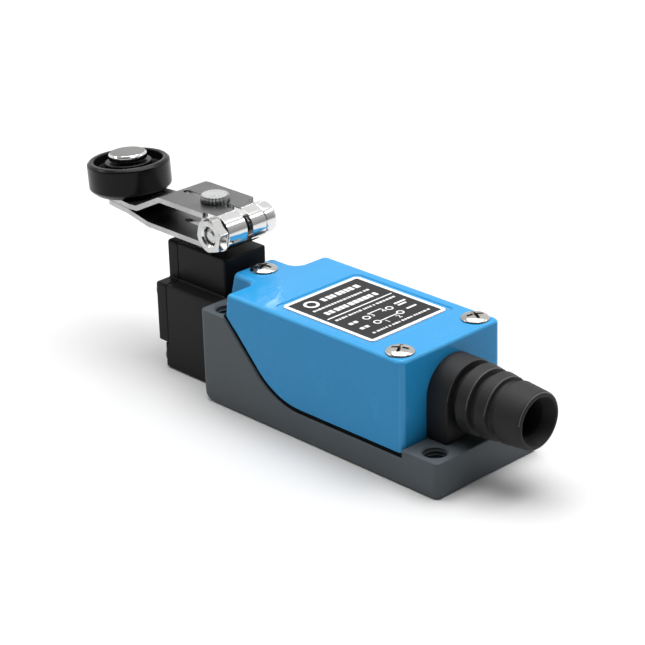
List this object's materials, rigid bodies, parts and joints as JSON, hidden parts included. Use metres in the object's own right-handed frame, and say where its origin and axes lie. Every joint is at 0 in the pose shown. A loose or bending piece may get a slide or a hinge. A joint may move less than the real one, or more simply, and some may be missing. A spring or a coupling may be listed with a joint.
{
  "type": "limit switch",
  "caption": "Miniature limit switch with a screwed cover on a stepped base, a rubber cable gland and a side-acting head with a folded-strap roller lever.",
  "frame": {"origin": "centre of the base's 64 by 28 mm mounting face", "axes": "+Z out of the cover, away from the mounting face; +X along the base towards the cable gland, so the lever head is at -X; the lever turns about a line parallel to Z; the shape is close to symmetric about the XZ plane"},
  "size_m": [0.122, 0.028, 0.0403],
  "materials": {
    "base_grey": "satin grey over die casting",
    "cover_blue": "glossy bright blue",
    "black_rubber": "matt black",
    "plate_black": "black print with a bare white border",
    "head_black": "semi-gloss black over die casting",
    "plated_steel": "bright plated",
    "strap_steel": "satin",
    "roller_black": "glossy black",
    "brass": "satin",
    "dark_phenolic": "matt dark brown",
    "button_red": "matt red",
    "spring_steel": "satin"
  },
  "bodies": {
    "root": {"base_housing": "base_grey", "block_screw_1": "plated_steel", "block_screw_2": "plated_steel", "button_spring": "spring_steel", "cable_gland": "black_rubber", "contact_block_case": "dark_phenolic", "contact_block_lid": "dark_phenolic", "cover": "cover_blue", "cover_gasket": "black_rubber", "cover_screw_1": "plated_steel", "cover_screw_2": "plated_steel", "cover_screw_3": "plated_steel", "head_end_plate": "head_black", "head_housing": "head_black", "head_screw_1": "plated_steel", "head_screw_2": "plated_steel", "head_screw_3": "plated_steel", "head_screw_4": "plated_steel", "head_seal": "black_rubber", "nameplate": "plate_black", "plunger_spring": "spring_steel", "seal_washer": "spring_steel", "shaft_bush": "brass", "shaft_seal_ring": "black_rubber", "terminal_1": "brass", "terminal_2": "brass", "terminal_3": "brass", "terminal_4": "brass", "terminal_screw_1": "plated_steel", "terminal_screw_2": "plated_steel", "terminal_screw_3": "plated_steel", "terminal_screw_4": "plated_steel"},
    "lever": {"shaft": "plated_steel", "cam": "spring_steel", "cam_pin": "spring_steel", "shaft_circlip": "spring_steel", "lever_arm": "strap_steel", "clamp_nut": "plated_steel", "clamp_bolt": "plated_steel", "roller_pin": "strap_steel"},
    "roller": {"roller": "roller_black"},
    "plunger": {"plunger": "brass"},
    "button": {"switch_button": "button_red", "contact_bridge": "brass"}
  },
  "joints": [
    {"name": "shaft_turn", "type": "hinge", "parent": "root", "child": "lever", "pos_m": [-0.0419, 0, 0.03], "axis": [0, 0, 1], "range_deg": [-70, 70], "stiffness_Nm_per_rad": 0.12},
    {"name": "roller_spin", "type": "hinge", "parent": "lever", "child": "roller", "pos_m": [-0.0685, 0, 0.0293], "axis": [-0.0698, 0, 0.9976], "continuous": true},
    {"name": "plunger_slide", "type": "slide", "parent": "root", "child": "plunger", "axis": [1, 0, 0], "range_m": [0, 0.0012], "stiffness_N_per_m": 500, "springref_m": -0.003, "deforming": ["plunger_spring"]},
    {"name": "button_slide", "type": "slide", "parent": "root", "child": "button", "axis": [1, 0, 0], "range_m": [0, 0.0012], "deforming": ["button_spring"]}
  ],
  "couplings": [
    {"joint": "button_slide", "follows": "plunger_slide", "ratio": 1}
  ]
}
